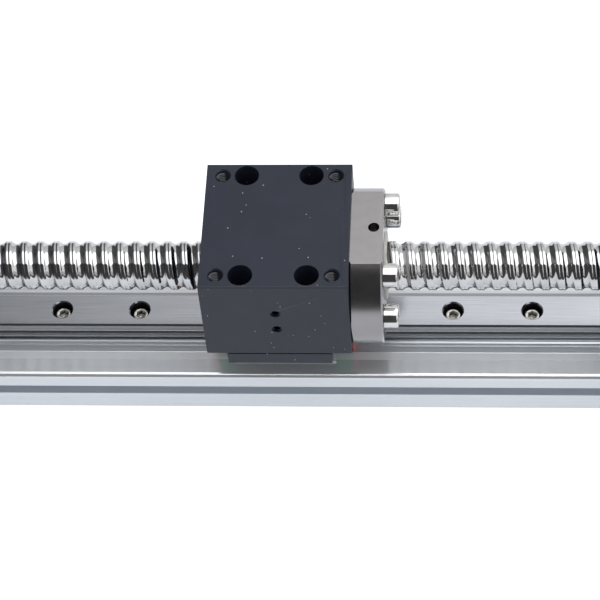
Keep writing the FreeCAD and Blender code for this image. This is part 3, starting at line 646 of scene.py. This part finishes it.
# Bumpers
# Black rubber buttons, moulded and fixed to the end plates, that the block and the nut's flange run
# up to.
rubber = moulded("black_rubber", (0.03, 0.03, 0.03), 0.55)
piece(copy_of("bumpers"), "rubber_bumpers", "base", rubber, ["bumpers"], round_edge=0.6)


# Floor
# A plain white floor. The camera sees it as white, and the metal mirrors it as a bright sheet
# behind and to the right, and as dark in front and on the left.
FLOOR_HALF, FLOOR_DOWN = 3.0, 0.1 * MM
SHEET_FRONT, SHEET_LEFT = (-0.24, -0.18), (-0.3, -0.1)
OFF_SHEET, SHEET_WHITE = (0.1, 0.1, 0.1), (0.80, 0.825, 0.86)


class Stage(Finish):
    """A floor or world whose colour seen by the camera and in mirrors is set by itself."""

    def __init__(self, tree):
        self.tree = tree
        tree.nodes.clear()

    def seen(self, *names):
        """1 for rays of these kinds."""
        path = self.add("LightPath")
        total = 0.0
        for name in names:
            total = Signal(self, path.outputs[name]) + total
        return total


mesh = bmesh.new()
bmesh.ops.create_grid(mesh, x_segments=1, y_segments=1, size=FLOOR_HALF)
bmesh.ops.translate(mesh, vec=(0, 0, -FLOOR_DOWN), verts=mesh.verts)
floor = bpy.data.objects.new("floor", bpy.data.meshes.new("floor"))
mesh.to_mesh(floor.data)
mesh.free()
bpy.context.scene.collection.objects.link(floor)
material = bpy.data.materials.new("white_floor")
material.use_nodes = True
floor.data.materials.append(material)
paper = Stage(material.node_tree)
to_right, to_back, _ = paper.axes(paper.node("TexCoord", output="Object"))
sheet = to_back.step(*SHEET_FRONT) * to_right.step(*SHEET_LEFT)
matt = paper.node("BsdfDiffuse", None, {"Color": paper.blend(sheet, OFF_SHEET, SHEET_WHITE)})
lift = paper.seen("Is Camera Ray", "Is Transmission Ray") * (1.4 - sheet * 0.65)
lift = lift + paper.seen("Is Glossy Ray") * sheet * 0.36
glow = paper.node("Emission", None, {"Color": (0.96, 0.99, 1.04), "Strength": lift})
paper.add("OutputMaterial", None, {"Surface": paper.node("AddShader", None, {0: matt, 1: glow})})


# Room and lamp
# A white room with one large soft lamp overhead that leans to the right. The metal mirrors the lamp,
# the walls, a window on the right in front, and a dark side behind the camera.
LAMP_FRONT, LAMP_BACK, LAMP_LEAN = (26, 32), (-39, -28), 25
LAMP_LEFT, LAMP_RIGHT = (-0.32, -0.12), (0.8, 0.93)
WINDOW_LEFT, WINDOW_FAR = (0.25, 0.45), (60, 75)

world = bpy.data.worlds.new("white_room")
bpy.context.scene.world = world
world.use_nodes = True
room = Stage(world.node_tree)
side, depth, height = room.axes(room.node("TexCoord", output="Generated"))
tilt = height.math("ARCTAN2", 0 - depth, height) * math.degrees(1)
wall = (0.32 + side.step(-0.3, 0.05) * 0.5) * (1 - (0 - tilt).step(50, 100) * 0.35)
lamp = wall + (tilt + side * LAMP_LEAN).step(*LAMP_BACK) * 1.3
in_front = tilt.step(*LAMP_FRONT)
lamp_span = side.step(*LAMP_LEFT) * (1 - side.step(*LAMP_RIGHT))
lit = lamp * (1 - in_front) * (0.1 + lamp_span * 0.9)
window = in_front * (1 - tilt.step(*WINDOW_FAR) * 0.5) * side.step(*WINDOW_LEFT) * 0.95
mirrored = 0.06 + lit + window
fill = 0.66 - (0 - depth).step(0.2, 0.8) * 0.24
camera_ray = room.seen("Is Camera Ray", "Is Transmission Ray")
glossy_ray = room.seen("Is Glossy Ray")
strength = camera_ray + glossy_ray * mirrored + (1 - camera_ray - glossy_ray) * fill
backdrop = room.node("Background", None, {"Color": (1, 1, 1), "Strength": strength})
room.add("OutputWorld", None, {"Surface": backdrop})

LAMP_PLACE, LAMP_WIDE, LAMP_LONG, LAMP_RADIANCE = (0.25, 0.1, 1.3), 2.2, 1.8, 0.5
softbox = bpy.data.lights.new("overhead", "AREA")
softbox.shape = "RECTANGLE"
softbox.size, softbox.size_y = LAMP_WIDE, LAMP_LONG
softbox.energy = LAMP_RADIANCE * math.pi * LAMP_WIDE * LAMP_LONG
overhead = bpy.data.objects.new("overhead", softbox)
overhead.location = LAMP_PLACE
overhead.visible_glossy = False
bpy.context.scene.collection.objects.link(overhead)


# Camera
# It stands above the module and in front of it, turned a little to the left and rolled, with a
# long lens.
CAMERA_PLACE = (71.7 * MM, -450.94 * MM, 664.35 * MM)
CAMERA_DOWN, CAMERA_TURN, CAMERA_ROLL = (math.radians(angle) for angle in (54.31, -7.2, -5.73))
SENSOR = 36.0
FOCAL_IN_FRAMES = 2461.51 / 600
camera = bpy.data.objects.new("camera", bpy.data.cameras.new("camera"))
bpy.context.scene.collection.objects.link(camera)
camera.data.sensor_width = SENSOR
camera.data.lens = SENSOR * FOCAL_IN_FRAMES
forward = Vector((math.sin(CAMERA_TURN) * math.cos(CAMERA_DOWN),
                  math.cos(CAMERA_TURN) * math.cos(CAMERA_DOWN), -math.sin(CAMERA_DOWN)))
level = Vector((math.cos(CAMERA_TURN), -math.sin(CAMERA_TURN), 0))
upward = level.cross(forward)
across = math.cos(CAMERA_ROLL) * level + math.sin(CAMERA_ROLL) * upward
above = math.cos(CAMERA_ROLL) * upward - math.sin(CAMERA_ROLL) * level
basis = Matrix((across, above, -forward)).transposed()
camera.matrix_world = Matrix.Translation(CAMERA_PLACE) @ basis.to_4x4()
bpy.context.scene.camera = camera
bpy.context.scene.view_settings.view_transform = "Standard"
